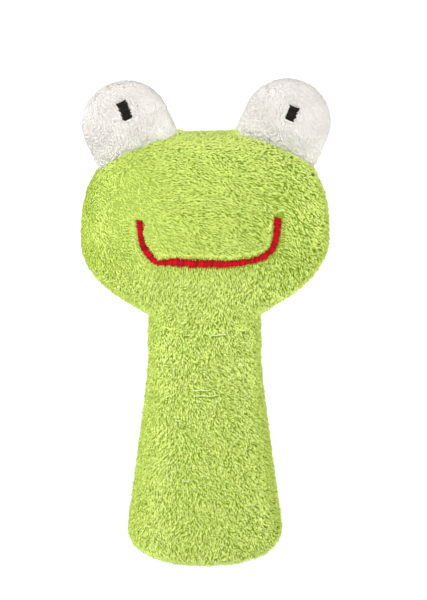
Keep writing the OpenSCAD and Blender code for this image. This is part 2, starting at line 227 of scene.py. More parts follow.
def level_fullness(z):
    below = np.clip((head_z - z) / head_drop, 0, 1)
    return 2 + (head_fullness - 2) * np.where(z > head_z, 1, 1 - below ** 2)


def head_grid(rows, cols):
    t = np.linspace(-math.pi / 2, math.pi / 2, rows + 1)
    rise = head_rise * np.abs(np.sin(t)) ** (2 / crown_fullness)
    z = head_z + np.where(t > 0, rise, (head_z - neck_seam_z) * np.sin(t))
    z = z[:, None] * np.ones(cols)
    p = 2 / level_fullness(z)
    a = round_angles(cols)
    x = head_half_w(z) * signed_pow(np.cos(a), p)
    y = head_half_d(z) * signed_pow(np.sin(a), p)
    return np.stack([x, y, z], 2)


def head_front(x, z):
    p = level_fullness(z)
    y = -head_half_d(z) * (1 - np.minimum(np.abs(x) / head_half_w(z), 1) ** p) ** (1 / p)
    return np.stack([x, y, z], -1)


def in_head(points, grow):
    x, y, z = np.moveaxis(points, -1, 0)
    q = level_fullness(z)
    wide = np.maximum(head_half_w(z, -grow), 1e-6)
    deep = np.maximum(head_half_d(z, -grow), 1e-6)
    return (np.abs(x) / wide) ** q + (np.abs(y) / deep) ** q < 1


def eye_axes(side):
    centre = np.array([side * eye_x[side], 0, head_z + eye_rise])
    up = np.array([side * math.sin(eye_lean), 0, math.cos(eye_lean)])
    across = np.array([math.cos(eye_lean), 0, -side * math.sin(eye_lean)])
    return centre, up, across


def eye_place(side, x, y, s):
    centre, up, across = eye_axes(side)
    x, y, s = np.broadcast_arrays(x, y, s)
    return centre + x[..., None] * across + y[..., None] * np.array([0, 1.0, 0]) + s[..., None] * up


def eye_local(side, points):
    centre, up, across = eye_axes(side)
    away = points - centre
    return away @ across, away[:, 1], away @ up


def eye_seat(side, x, y, grow):
    """Depth below the eye's centre where a line along the lean meets the head, found by halving."""
    high = np.zeros_like(x)
    low = np.full_like(x, 2 * eye_r)
    for _ in range(SEAT_HALVINGS):
        mid = (high + low) / 2
        inside = in_head(eye_place(side, x, y, -mid), grow)
        low = np.where(inside, mid, low)
        high = np.where(inside, high, mid)
    return (high + low) / 2


def eye_grid(side, skirt_rows, bulb_rows, cols):
    a = round_angles(cols)
    seat = eye_seat(side, eye_seam_half_w * np.cos(a), eye_seam_half_d * np.sin(a), -skirt_sunk)
    rows = []
    for share in np.linspace(1, 0, skirt_rows + 1)[:-1]:
        x = eye_r - (eye_r - eye_seam_half_w) * share ** skirt_w_power
        y = eye_half_d - (eye_half_d - eye_seam_half_d) * share ** skirt_d_power
        rows.append(eye_place(side, x * np.cos(a), y * np.sin(a), -share * seat))
    for lat in np.linspace(0, math.pi / 2, bulb_rows + 1):
        out = math.cos(lat)
        x = eye_r * out * np.cos(a)
        y = eye_half_d * out * np.sin(a)
        rows.append(eye_place(side, x, y, eye_r * math.sin(lat)))
    return np.stack(rows)


def eye_front(side, x, s, lift):
    r = eye_r + lift
    y = -(eye_half_d + lift) * np.sqrt(1 - (x / r) ** 2 - (s / r) ** 2)
    return eye_place(side, x, y, s)


def handle_profile(rows):
    corner = np.array([handle_r - base_corner_r, base_corner_r + base_lift])
    to_neck = np.array([neck_r, neck_start_z]) - corner
    taper = math.atan2(to_neck[1], to_neck[0]) - math.acos(base_corner_r / np.linalg.norm(to_neck))
    low = np.linspace(-math.pi / 2, taper, ARC_STEPS)[:, None]
    high = np.linspace(math.pi + taper, math.pi, ARC_STEPS)[:, None]
    hub = np.array([neck_r + neck_curve_r, neck_start_z + neck_curve_r * math.tan(taper / 2)])
    line = np.concatenate([corner + base_corner_r * np.hstack([np.cos(low), np.sin(low)]),
                           hub + neck_curve_r * np.hstack([np.cos(high), np.sin(high)]),
                           [[neck_r, neck_seam_z]]])
    return evenly(line, run_lengths(line), rows + 1)


def handle_grid(rows, cols):
    r, z = handle_profile(rows).T
    a = round_angles(cols)
    return np.stack([r[:, None] * np.cos(a), r[:, None] * np.sin(a), z[:, None] * np.ones(cols)], 2)


def grid_normals(grid, closed):
    """Directions out of a grid's cloth. Where a row has shrunk to one point, the row below it is followed."""
    if closed:
        round_way = np.roll(grid, -1, 1) - np.roll(grid, 1, 1)
    else:
        round_way = np.gradient(grid, axis=1)
    out = np.cross(round_way, np.gradient(grid, axis=0))
    pole = np.abs(out[-1]).max() < 1e-6
    out = unit(out)
    if pole:
        out[-1] = unit(out[-2].mean(0))
    return out


def half_of(grid, side):
    """The front or the back half of a closed grid, with both side seams."""
    cols = grid.shape[1]
    first = cols // 2 if side == FRONT else 0
    return grid[:, (first + np.arange(cols // 2 + 1)) % cols]


def beyond_eye(side, points):
    """Distance of each point outside the seam of an eye, seen along the eye's lean."""
    x, y, s = eye_local(side, points)
    ring = np.sqrt((x / eye_seam_half_w) ** 2 + (y / eye_seam_half_d) ** 2)
    outside = np.hypot(x, y) * (1 - 1 / np.maximum(ring, 0.05))
    return np.where((s < 0) & (s > -EYE_REACH), outside, FAR)


def gathered(points):
    """The head's cloth, pulled up where the eyes are sewn to it, most on the inner side."""
    flat = points.reshape(-1, 3).copy()
    for side in (LEFT, RIGHT):
        outside = beyond_eye(side, flat)
        inner = smooth_step(*GATHER_ACROSS, -side * eye_local(side, flat)[0])
        reach = np.where(outside > 0, GATHER_OUTSIDE, GATHER_INSIDE)
        pull = (GATHER_OUTER + GATHER_INNER * inner) * np.exp(-(outside / reach) ** 2)
        flat += pull[:, None] * eye_axes(side)[1]
    return flat.reshape(points.shape)


# Filling: pressure in a cover that is held at its seams

SIM_SCALE = 0.02
SIM_FRAMES = 18
CLOTH = {"quality": 6, "vertex_group_mass": "held", "use_pressure": True, "uniform_pressure_force": 3.0,
         "shrink_min": -0.03, "tension_stiffness": 30, "bending_stiffness": 2.0}
# Swelling as a share of its usual height: the most that is left of it, and the most that is evened out
MOST_SWELL = 1.5
EVENED_SWELL = 1.1


def grid_faces(rows, cols, pole):
    quads = [(i * cols + j, i * cols + (j + 1) % cols, (i + 1) * cols + (j + 1) % cols, (i + 1) * cols + j)
             for i in range(rows - 1 if pole else rows) for j in range(cols)]
    if not pole:
        return quads
    last = (rows - 1) * cols
    return quads + [(last + j, last + (j + 1) % cols, rows * cols) for j in range(cols)]


def pushed_out(grid, pole):
    """How far cloth simulation swells each point of a closed grid, held at its side seams and its ends."""
    rows, cols = grid.shape[0] - 1, grid.shape[1]
    points = grid.reshape(-1, 3)
    if pole:
        points = points[:rows * cols + 1]
    mesh = bpy.data.meshes.new("filling_trial")
    mesh.from_pydata((points * SIM_SCALE).tolist(), [], grid_faces(rows, cols, pole))
    trial = add_object("filling_trial", mesh)
    held = trial.vertex_groups.new(name="held")
    seam = list(range(cols)) + [i * cols + j for i in range(rows) for j in (0, cols // 2)]
    seam += [len(points) - 1] if pole else list(range(rows * cols, (rows + 1) * cols))
    held.add(seam, 1.0, "REPLACE")
    settings = trial.modifiers.new("filling", "CLOTH").settings
    for key, value in CLOTH.items():
        setattr(settings, key, value)
    settings.effector_weights.gravity = 0
    scene = bpy.context.scene
    for number in range(1, SIM_FRAMES + 1):
        scene.frame_set(number)
    shown = trial.evaluated_get(bpy.context.evaluated_depsgraph_get()).to_mesh()
    moved = vertex_rows(shown, "co") / SIM_SCALE - points
    scene.frame_set(1)
    bpy.data.objects.remove(trial)
    if pole:
        moved = np.vstack([moved[:-1], np.repeat(moved[-1:], cols, 0)])
    return moved.reshape(grid.shape)


def evened(rise):
    """Swelling evened out with that of the places beside, above and below."""
    tall = np.pad(rise, ((1, 1), (0, 0)), "edge")
    return (2 * rise + np.roll(rise, 1, 1) + np.roll(rise, -1, 1) + tall[:-2] + tall[2:]) / 6


def swollen(grid, seam, depth, passes, pole=True):
    """A cover as sewn: its seams lie deep, and the cloth between them swells close to the solids' surface.

    seam and depth are the depths of the seams and of the cloth, and passes how often the swelling is evened.
    """
    out = grid_normals(grid, True)
    start = grid - seam * out
    rise = (pushed_out(start, pole) * out).sum(2)
    rise = np.clip(rise / max(np.median(rise), 0.05), 0, MOST_SWELL)
    for _ in range(passes):
        rise = evened(np.minimum(rise, EVENED_SWELL))
    rise *= seam - depth
    return start + rise[..., None] * out


# Meshes from arrays: a piece of work is points, faces with their places on the map, and per-point values

# Bands of the map, and the bare margin round a cell of it
PILE_BAND = (0.0, 0.89)
BARE_BAND = (0.89, 0.9)
STITCH_BAND = (0.0, 0.9)
GROUND_BAND = (0.9, 1)
CELL_MARGIN = 0.04


def work(points, faces, along, tint):
    return {"points": points, "faces": faces, "along": along, "tint": tint}


def make_piece(name, works, materials):
    """One mesh from several pieces of work, each with its own material."""
    corners, starts, places, slots = [], [], [], []
    first = 0
    count = 0
    for number, w in enumerate(works):
        for faces, spots in w["faces"]:
            size = faces.shape[1]
            corners.append((faces + first).ravel())
            starts.append(count + size * np.arange(len(faces)))
            places.append(spots.reshape(-1, 2))
            slots.append(np.full(len(faces), number))
            count += faces.size
        first += len(w["points"])
    mesh = bpy.data.meshes.new(name)
    mesh.vertices.add(first)
    points = np.concatenate([w["points"] for w in works]) * MM
    mesh.vertices.foreach_set("co", points.astype(np.float32).ravel())
    mesh.loops.add(count)
    mesh.loops.foreach_set("vertex_index", np.concatenate(corners).astype(np.int32))
    starts = np.concatenate(starts).astype(np.int32)
    mesh.polygons.add(len(starts))
    mesh.polygons.foreach_set("loop_start", starts)
    mesh.polygons.foreach_set("material_index", np.concatenate(slots).astype(np.int32))
    mesh.shade_smooth()
    mesh.update(calc_edges=True)
    layer = mesh.uv_layers.new(name="OFBake")
    layer.data.foreach_set("uv", np.concatenate(places).astype(np.float32).ravel())
    for key in ("along", "tint"):
        values = mesh.attributes.new(key, "FLOAT", "POINT")
        values.data.foreach_set("value", np.concatenate([w[key] for w in works]).astype(np.float32))
    mesh.validate()
    for m in materials:
        mesh.materials.append(m)
    return add_object(name, mesh)


def in_cells(spots, count, band):
    """Places of the same faces, given in a unit square, in each of count cells of a band of the map."""
    low, high = band
    across = max(1, math.ceil(math.sqrt(count / (high - low))))
    down = math.ceil(count / across)
    size = np.array([1 / across, (high - low) / down])
    k = np.arange(count)
    corner = np.stack([k % across, k // across], 1) * size + np.array([0, low])
    placed = spots[None] * size * (1 - 2 * CELL_MARGIN) + corner[:, None, None] + CELL_MARGIN * size
    return placed.reshape(-1, *spots.shape[1:])


def repeated(faces, count, per):
    """The same faces on each of count forms of per points."""
    return (faces[None] + per * np.arange(count)[:, None, None]).reshape(-1, faces.shape[1])


def ground_work(grid, tint=0.0):
    """Woven ground of a terry cover, as an open grid of cloth."""
    rows, cols = grid.shape[:2]
    first = np.arange(rows * cols).reshape(rows, cols)[:-1, :-1].reshape(-1, 1)
    quads = first + np.array([0, 1, cols + 1, cols])
    across = np.tile(np.linspace(0, 1, cols), rows)
    spots = np.stack([across, np.repeat(np.linspace(*GROUND_BAND, rows), cols)], 1)
    n = rows * cols
    return work(grid.reshape(-1, 3), [(quads, spots[quads])], np.zeros(n), np.broadcast_to(tint, n))


def tube_work(paths, ups, radius, tint, band, sides=5):
    """Threads as closed tubes: paths is threads x points x 3, and ups the direction out of the cloth."""
    n, m = paths.shape[:2]
    tangent = unit(np.gradient(paths, axis=1))
    side = unit(np.cross(ups, tangent))
    top = np.cross(tangent, side)
    a = round_angles(sides)
    rings = paths[:, :, None] + radius * (np.cos(a)[:, None] * side[:, :, None]
                                          + np.sin(a)[:, None] * top[:, :, None])
    points = np.concatenate([rings.reshape(n, -1, 3), paths[:, :1], paths[:, -1:]], 1)
    per = m * sides + 2
    i, k = (v.reshape(-1, 1) for v in np.meshgrid(np.arange(m - 1), np.arange(sides), indexing="ij"))
    row = i + np.array([0, 0, 1, 1])
    col = k + np.array([0, 1, 1, 0])
    quads = row * sides + col % sides
    square = np.array([sides, m + 1])
    quad_map = np.stack([col, row + 1], 2) / square
    e = np.arange(sides)
    none = 0 * e
    last = (m - 1) * sides
    tris = np.concatenate([np.stack([(e + 1) % sides, e, none + per - 2], 1),
                           np.stack([last + e, last + (e + 1) % sides, none + per - 1], 1)])
    tri_map = np.concatenate([np.stack([e + 1, none + 1, e, none + 1, e + 0.5, none], 1),
                              np.stack([e, none + m, e + 1, none + m, e + 0.5, none + m + 1], 1)])
    tri_map = tri_map.reshape(-1, 3, 2) / square
    along = np.concatenate([np.repeat(np.linspace(0, 1, m), sides), [0, 1]])
    kinds = ((quads, quad_map), (tris, tri_map))
    faces = [(repeated(corners, n, per), in_cells(spots, n, band)) for corners, spots in kinds]
    return work(points.reshape(-1, 3), faces, np.tile(along, n), np.repeat(tint, per))


# Pile: tufts of yarn that stand up from the ground and lean over with the nap

# Where along its yarn a tuft is thickest, and the power by which it leans over
BELLY_AT = 0.55
LEAN_POWER = 1.4
# Steps of an even scatter, across and up a cell of the grid
SCATTER_STEPS = (0.7548776662466927, 0.5698402909980532)


def scattered(grid, density):
    """Evenly scattered places on an open grid, with the directions out of the cloth there."""
    out = grid_normals(grid, False)
    across = grid[1:, 1:] - grid[:-1, :-1]
    other = grid[1:, :-1] - grid[:-1, 1:]
    area = np.linalg.norm(np.cross(across, other), axis=2) / 2
    total = np.cumsum(area.ravel()) * density
    k = np.arange(int(total[-1]))
    cell = np.searchsorted(total, k + 0.5)
    i, j = np.unravel_index(cell, area.shape)
    u, v = (((0.5 + k * step) % 1)[:, None] for step in SCATTER_STEPS)

    def between(values):
        low = values[i, j] * (1 - u) + values[i, j + 1] * u
        high = values[i + 1, j] * (1 - u) + values[i + 1, j + 1] * u
        return low * (1 - v) + high * v

    return between(grid), unit(between(out))


def tuft_work(roots, out, nap, length, lean, radius, tint, floor=None, flat=1.0, root_along=0.0):
    """Tufts as three-sided spindles from root to tip, pressed to a share flat of their thickness.

    floor is the lowest height that they may reach, and root_along how far along its yarn a root counts, which
    lifts its painted shade.
    """
    n = len(roots)
    side = unit(np.cross(out, nap))
    rise = (length * np.cos(lean))[:, None]
    run = (length * np.sin(lean))[:, None]

    def spine(t):
        return roots + out * rise * (2 * t - t * t) + nap * run * t ** LEAN_POWER

    tangent = unit(spine(BELLY_AT + 0.05) - spine(BELLY_AT))
    top = np.cross(tangent, side)
    belly = [spine(BELLY_AT) + radius[:, None] * (math.cos(a) * side + flat * math.sin(a) * top)
             for a in np.radians((90, 210, 330))]
    points = np.stack([spine(0.0), *belly, spine(1.0)], 1)
    if floor is not None:
        points[..., 2] = np.maximum(points[..., 2], floor)
    lower = [(0, 1 + (k + 1) % 3, 1 + k) for k in range(3)]
    upper = [(1 + k, 1 + (k + 1) % 3, 4) for k in range(3)]
    spots = np.array([[(k + 0.5, 0), (k + 1, BELLY_AT), (k, BELLY_AT)] for k in range(3)]
                     + [[(k, BELLY_AT), (k + 1, BELLY_AT), (k + 0.5, 1)] for k in range(3)])
    per = points.shape[1]
    along = np.tile([0, BELLY_AT, BELLY_AT, BELLY_AT, 1], (n, 1))
    along[:, 0] = root_along
    spots = in_cells(spots * np.array([1 / 3, 1]), n, PILE_BAND)
    faces = [(repeated(np.array(lower + upper), n, per), spots)]
    return work(points.reshape(-1, 3), faces, along.ravel(), np.repeat(tint, per))


def nap_of(out, sweep):
    """Directions along the cloth that lie at an angle from straight down, seen from the front."""
    way = np.stack([np.sin(sweep), np.zeros(len(sweep)), -np.cos(sweep)], 1)
    return unit(along_cloth(way, out) + 0.02 * np.cross(out, [0, 1.0, 0]))


# Mouth line

LINE_POINTS = 600
PATH_PITCH = 0.4
# Where the mouth is looked for: its middle above the head's, and how far from that in height
MOUTH_MIDDLE = 3
MOUTH_REACH = 18
SEARCH_PARTS = 40


def curve(points, count):
    """Smooth line through points, as a Catmull-Rom curve."""
    knots = np.array(points, float)
    u = np.linspace(0, len(knots) - 1, count)
    i = np.minimum(u.astype(int), len(knots) - 2)
    t = (u - i)[:, None]
    a = knots[np.maximum(i - 1, 0)]
    b = knots[i]
    c = knots[i + 1]
    d = knots[np.minimum(i + 2, len(knots) - 1)]
    return b + t / 2 * (c - a + t * (2 * a - 5 * b + 4 * c - d + t * (3 * (b - c) + d - a)))


def mouth_line(knots, pitch):
    """Evenly spaced points of a run of the mouth, seen from the front, across and up."""
    line = curve(knots, LINE_POINTS) * np.array([mouth_w / 2, mouth_h]) + np.array([0, head_z - mouth_drop])
    run = run_lengths(head_front(*line.T))
    return evenly(line, run, int(run[-1] / pitch) + 1)


mouth_path = np.concatenate([mouth_line(knots, PATH_PITCH) for knots, _ in MOUTH_RUNS])


def near_mouth(points):
    """Distance of each place on the face from the mouth's line, and the direction away from it."""
    line = head_front(*mouth_path.T)
    gap = np.full(len(points), FAR)
    away = np.zeros_like(points)
    level = np.abs(points[:, 2] - head_z - MOUTH_MIDDLE) < MOUTH_REACH
    for part in np.array_split(np.flatnonzero((points[:, 1] < 0) & level), SEARCH_PARTS):
        d = points[part][:, None] - line[None]
        size = np.linalg.norm(d, axis=2)
        best = size.argmin(1)
        gap[part] = size[np.arange(len(part)), best]
        away[part] = d[np.arange(len(part)), best]
    return gap, unit(away)


# Materials

def feed(tree, node, inputs):
    """Give a node's inputs values of their own, or link them to the outputs of other nodes."""
    for key, value in inputs.items():
        socket = node.inputs[key]
        if isinstance(value, bpy.types.NodeSocket):
            tree.links.new(value, socket)
        else:
            socket.default_value = (*value, 1) if socket.type == "RGBA" else value
    return node


def add_node(tree, kind, inputs, **values):
    n = tree.nodes.new("ShaderNode" + kind)
    for key, value in values.items():
        setattr(n, key, value)
    return feed(tree, n, inputs)


def ramp(tree, factor, stops):
    n = add_node(tree, "ValToRGB", {"Fac": factor})
    while len(n.color_ramp.elements) < len(stops):
        n.color_ramp.elements.new(0.5)
    for e, (at, colour) in zip(n.color_ramp.elements, stops):
        e.position = at
        e.color = (*colour, 1)
    return n.outputs["Color"]


def maths(tree, operation, a, b):
    return add_node(tree, "Math", {0: a, 1: b}, operation=operation).outputs[0]


def mixed(tree, blend, share, a, b):
    inputs = {0: share, 6: a, 7: b}
    return add_node(tree, "Mix", inputs, data_type="RGBA", blend_type=blend).outputs[2]


def object_place(tree):
    return add_node(tree, "TexCoord", {}).outputs["Object"]


def noise(tree, scale, detail, stretch=None):
    place = object_place(tree)
    if stretch:
        place = add_node(tree, "Mapping", {"Vector": place, "Scale": stretch}).outputs["Vector"]
    inputs = {"Scale": scale, "Detail": detail, "Vector": place}
    return add_node(tree, "TexNoise", inputs).outputs["Fac"]


def swing(tree, factor, share):
    """A noise about 0, as a share of its strength."""
    return maths(tree, "MULTIPLY", maths(tree, "SUBTRACT", factor, 0.5), share)


def ranged(tree, factor, low, high):
    inputs = {"Value": factor, "To Min": low, "To Max": high}
    return add_node(tree, "MapRange", inputs).outputs["Result"]


def bump(tree, height, strength, distance):
    inputs = {"Strength": strength, "Distance": distance, "Height": height}
    return add_node(tree, "Bump", inputs).outputs["Normal"]


def attribute(tree, name):
    return add_node(tree, "Attribute", {}, attribute_name=name).outputs["Fac"]


def linear(colour):
    """A colour written as 0 to 255, as light."""
    levels = (v / 255 for v in colour)
    return [v / 12.92 if v <= 0.04045 else ((v + 0.055) / 1.055) ** 2.4 for v in levels]


def material(name, kind, colours, *values):
    """A new material whose shader has the inputs that a kind of finish gives it."""
    m = bpy.data.materials.new(name)
    m.use_nodes = True
    tree = m.node_tree
    feed(tree, tree.nodes["Principled BSDF"], kind(tree, *map(linear, colours), *values))
    return m


def pile(tree, dark, middle, light, painted_root_shade, painted_belly_shade, glow):
    """Terry yarn: each tuft has its own tone, with painted shade that darkens it from tip to root, and uneven
    dye over the cloth.
    """
    dye = swing(tree, noise(tree, 90, 3), 0.25)
    fibres = swing(tree, noise(tree, 4200, 1), 0.35)
    tone = maths(tree, "ADD", maths(tree, "ADD", attribute(tree, "tint"), dye), fibres)
    colour = ramp(tree, tone, [(0.0, dark), (0.5, middle), (1.0, light)])
    # Painted shade between the tufts: darker towards the root, lighter towards the tip
    depth = ramp(tree, attribute(tree, "along"), [(0.0, painted_root_shade), (0.45, painted_belly_shade), (0.75, (1, 1, 1))])
    return {
        "Base Color": mixed(tree, "MULTIPLY", 1.0, colour, depth),
        "Roughness": ranged(tree, noise(tree, 900, 1), 0.78, 0.98),
        "Specular IOR Level": 0.2,
        "Subsurface Weight": glow,
        "Subsurface Radius": (1.0, 0.95, 0.9),
        "Subsurface Scale": 0.001,
    }


def weave(tree, dark, light, gap_light_colour):
    """Woven ground under the pile: crossing threads, with a painted light colour mixed in by the share of the
    tint, which lifts the shade between the tufts.
    """
    inputs = {"Scale": 380, "Distortion": 1.5, "Vector": object_place(tree)}
    threads = [add_node(tree, "TexWave", inputs, bands_direction=way) for way in "XZ"]
    height = maths(tree, "MULTIPLY", *(thread.outputs["Fac"] for thread in threads))
    colour = ramp(tree, height, [(0.0, dark), (1.0, light)])
    return {
        "Base Color": mixed(tree, "MIX", attribute(tree, "tint"), colour, gap_light_colour),
        "Roughness": 0.95,
        "Specular IOR Level": 0.15,
        "Normal": bump(tree, height, 0.6, 0.0003),
    }


def satin(tree, dark, light, roughness, gloss):
    """Embroidery yarn: each stitch has its own tone and fine fibres along it."""
    fibres = noise(tree, 5200, 2)
    tone = maths(tree, "ADD", attribute(tree, "tint"), maths(tree, "MULTIPLY", fibres, 0.5))
    return {
        "Base Color": ramp(tree, tone, [(0.15, dark), (1.0, light)]),
        "Roughness": roughness,
        "Specular IOR Level": gloss,
        "Normal": bump(tree, fibres, 0.5, 0.0001),
    }


def thread(tree, dark, light):
    """Twisted sewing thread."""
    inputs = {"Scale": 700, "Vector": object_place(tree)}
    twist = add_node(tree, "TexWave", inputs, bands_direction="DIAGONAL").outputs["Fac"]
    return {
        "Base Color": ramp(tree, twist, [(0.1, dark), (0.9, light)]),
        "Roughness": 0.6,
        "Normal": bump(tree, twist, 0.5, 0.00008),
    }


def fibre(tree, dark, light):
    """Fluffy filling."""
    strands = noise(tree, 700, 8, (1, 1, 0.35))
    return {
        "Base Color": ramp(tree, strands, [(0.3, dark), (0.7, light)]),
        "Roughness": 0.9,
        "Sheen Weight": 0.4,
        "Normal": bump(tree, strands, 0.8, 0.0008),
    }


def plastic(tree, dark, light, roughness):
    """Moulded plastic with a slightly clouded colour and a fine moulded grain."""
    grain = noise(tree, 2600, 2)
    return {
        "Base Color": ramp(tree, noise(tree, 120, 3), [(0.3, dark), (0.7, light)]),
        "Roughness": ranged(tree, grain, roughness - 0.06, roughness + 0.08),
        "Normal": bump(tree, grain, 0.08, 0.00005),
    }


# Pile: dark, middle and light colours, then the painted shade at the root and at the belly, and the glow
green_pile = material("green_pile", pile, [(177, 198, 82), (224, 242, 130), (242, 252, 168)],
                      (0.4, 0.46, 0.28), (0.82, 0.84, 0.76), 0.0)
white_pile = material("white_pile", pile, [(222, 216, 210), (231, 226, 220), (247, 244, 238)],
                      (0.98, 0.98, 0.96), (1, 1, 1), 0.3)
# The grounds' third colour is painted light for the gaps between the tufts
green_ground = material("green_ground", weave, [(112, 138, 36), (160, 184, 70), (202, 220, 122)])
white_ground = material("white_ground", weave, [(230, 225, 216), (243, 239, 232), (243, 239, 232)])
red_satin = material("red_satin", satin, [(84, 0, 6), (176, 6, 25)], 0.55, 0.1)
black_satin = material("black_satin", satin, [(2, 2, 2), (34, 30, 25)], 0.75, 0.08)
green_thread = material("green_thread", thread, [(140, 168, 50), (190, 212, 100)])
white_thread = material("white_thread", thread, [(214, 209, 198), (244, 241, 234)])
ground_thread = material("ground_thread", thread, [(214, 228, 160), (232, 242, 192)])
batting_fibre = material("fibre_filling", fibre, [(222, 221, 216), (250, 250, 247)])
capsule_plastic = material("capsule_plastic", plastic, [(150, 186, 208), (172, 204, 222)], 0.34)
pellet_plastic = material("pellet_plastic", plastic, [(222, 132, 46), (240, 160, 70)], 0.3)


# Covers

HANDLE_SEED = 21
HEAD_SEED = 31
EYE_SEED = 41
GREEN_DENSITY = 5.0
GREEN_LENGTH = 1.62
GREEN_R = 0.175
WHITE_DENSITY = 13.0
WHITE_LENGTH = 2.0
WHITE_R = 0.2
# Lowest height of the pile that stands on the table
TABLE_GAP = 0.03

# Green pile that is missing at the right, where it stands open: its share, and where across that grows
OPEN_SHARE = 0.4
OPEN_X = (4, 24)

# Share of painted light on the woven ground at the head's left, where the pile lies close: it lifts the shade
# seen between the tufts
GAP_LIGHT_SHARE = 0.32

# Bare dashes of weave on the handle's front: middle across and up, and half length
BARE_DASHES = [(3.4, 78.8, 2.6), (-6.8, 78.7, 0.8), (-2.3, 60.4, 3.0), (-0.9, 58.5, 3.7), (-3.4, 56.5, 0.7),
               (3.1, 56.5, 0.5), (-9.7, 49.8, 1.0), (-7.6, 30.1, 1.0)]
BARE_HALF_H = 0.4
BARE_OUT = 1.2
BARE_R = 0.13
BARE_POINTS = 9

# Heights over which the handle's nap gives way to the head's and the crown begins, and over which the
# cheeks and the neck begin and end
HEAD_NAP = (96, 106)
CROWN = (104, 118)
CHEEKS = ((80, 88), (100, 114))
NECK = ((74, 80), (86, 92))

# Nap of the green pile, in degrees from straight down: by height, and what is added across the head
NAP_BY_HEIGHT = ([76, 84, 96, 106], [14, -12, -12, 58])
NAP_ACROSS_HEAD = ([-28, -12, 12, 28], [10, 0, 0, -32])
# Its lie, in degrees from upright: across the cloth, and what is added across the crown
LIE_ACROSS = ([-30, 0, 10, 28], [50, 50, 44, 30])
LIE_ACROSS_CROWN = ([-26, -5], [18, 6])
# Painted shade on the cheeks by how far they face sideways, and lift of the painted root shade across the
# head
CHEEK_PAINTED_SHADE = ([-0.7, -0.3, 0.3, 0.7], [0.32, 0, 0, 0.2])
ROOT_SHADE_LIFT = ([-24, -8, 8, 26], [0.5, 0, 0, 0.35])
# Distance and seed of the green pile's clumps and of its broad and narrow swirls
CLUMPS = (1.7, 13)
BROAD_SWIRLS = (24, 7)
NARROW_SWIRLS = (8, 8)

# White pile: how far it stays off the pupil and out of the head, and the distances from the head at
# which it stands up step by step
PUPIL_CLEAR = 0.15
HEAD_CLEAR = 0.4
SEAM_STEPS = (0.8, 1.6, 2.4, 3.2)


def at_left(points):
    return smooth_step(4, 22, -points[..., 0])


def within(span, z):
    """1 between the rise and the fall of a span of heights, and 0 outside it."""
    rise, fall = span
    return smooth_step(*rise, z) * (1 - smooth_step(*fall, z))


def planted(grid, rng):
    """Green tufts' places and directions out, distance and direction from the mouth, and nearness to eyes."""
    roots, out = scattered(grid, GREEN_DENSITY)
    x, y, z = roots.T
    keep = rng.random(len(roots)) > np.interp(x, OPEN_X, [0, OPEN_SHARE])
    to_eye = np.zeros(len(roots))
    outside = [beyond_eye(side, roots) for side in (LEFT, RIGHT)]
    for gap in outside:
        keep |= gap < 3
        to_eye += np.clip(1 - gap / 2.2, 0, 1)
    for gap in outside:
        keep &= gap > -0.3
    for dash_x, dash_z, half in BARE_DASHES:
        keep &= (np.abs(x - dash_x) > half) | (np.abs(z - dash_z) > BARE_HALF_H) | (y > 0)
    gap, away = near_mouth(roots)
    keep &= gap > 0.47 * mouth_stitch_w
    return roots[keep], out[keep], gap[keep], away[keep], to_eye[keep]


def green_tint(roots, out, to_eye, on_head, rng):
    """Tone of each green tuft: some are dull, and painted shade darkens the sides, the cheeks, the neck and
    the left.
    """
    n = len(roots)
    x, _, z = roots.T
    dull = rng.random(n) < 0.12
    uneven = 0.22 * rng.normal(size=n) + 0.04 * waves(roots, *CLUMPS) - 0.42 * dull
    tint = 0.6 - 0.1 * on_head + uneven * (1 - 0.5 * on_head) + 0.25 * to_eye
    # Painted shade on the cloth that faces sideways, the handle's flanks, the cheeks, the neck, the crown's
    # left and the head's left
    tint -= 0.36 * smooth_step(0.7, 1.0, np.abs(out[:, 0]))
    tint -= 0.06 * (1 - on_head) * smooth_step(4, 18, np.abs(x))
    tint -= within(CHEEKS, z) * np.interp(out[:, 0], *CHEEK_PAINTED_SHADE)
    tint -= 0.07 * within(NECK, z)
    tint -= 0.07 * smooth_step(*CROWN, z) * smooth_step(8, 26, -x)
    tint -= 0.09 * on_head * at_left(roots)
    return tint


